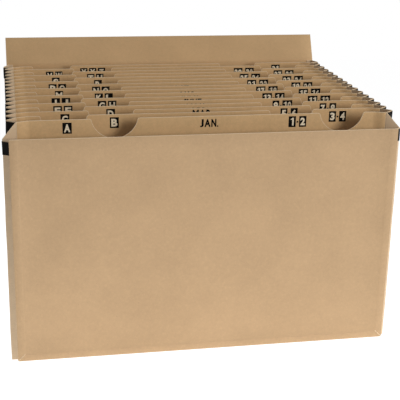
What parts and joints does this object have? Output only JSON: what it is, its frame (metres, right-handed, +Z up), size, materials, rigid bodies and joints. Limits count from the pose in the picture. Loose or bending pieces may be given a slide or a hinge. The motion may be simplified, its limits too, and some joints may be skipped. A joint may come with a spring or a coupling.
{
  "type": "expanding file folder",
  "caption": "Open-topped kraft expanding file with a pleated gusset on three sides, notched index dividers, cloth edge tape and a scored flap at the back.",
  "frame": {"origin": "on the table, under the middle of the folder's bounding box, flap included", "axes": "+X across the folder to the right as seen from its front, +Y from the front board to the back board, +Z up"},
  "size_m": [0.3906, 0.313, 0.2744],
  "materials": {
    "kraft_board": "smooth calendered kraft board, matt with a faint sheen",
    "divider_card": "uncoated kraft card, matt",
    "gusset_paper": "uncoated kraft paper, matt",
    "black_cloth_tape": "woven book cloth tape, slightly shiny on its threads",
    "index_ink": "flat black printing ink"
  },
  "bodies": {
    "folder": {"front_board": "kraft_board", "back_board": "kraft_board", "gusset": "gusset_paper", "left_edge_tape": "black_cloth_tape", "right_edge_tape": "black_cloth_tape", "divider_01": "divider_card", "divider_02": "divider_card", "divider_03": "divider_card", "divider_04": "divider_card", "divider_05": "divider_card", "divider_06": "divider_card", "divider_07": "divider_card", "divider_08": "divider_card", "divider_09": "divider_card", "divider_10": "divider_card", "divider_11": "divider_card", "divider_12": "divider_card", "divider_13": "divider_card", "divider_14": "divider_card", "divider_15": "divider_card", "divider_16": "divider_card"},
    "flap": {"flap": "kraft_board"}
  },
  "joints": [
    {"name": "flap_fold", "type": "hinge", "parent": "folder", "child": "flap", "pos_m": [0, 0.14086, 0.24545], "axis": [-1, 0, 0], "range_deg": [-117, 112]}
  ]
}
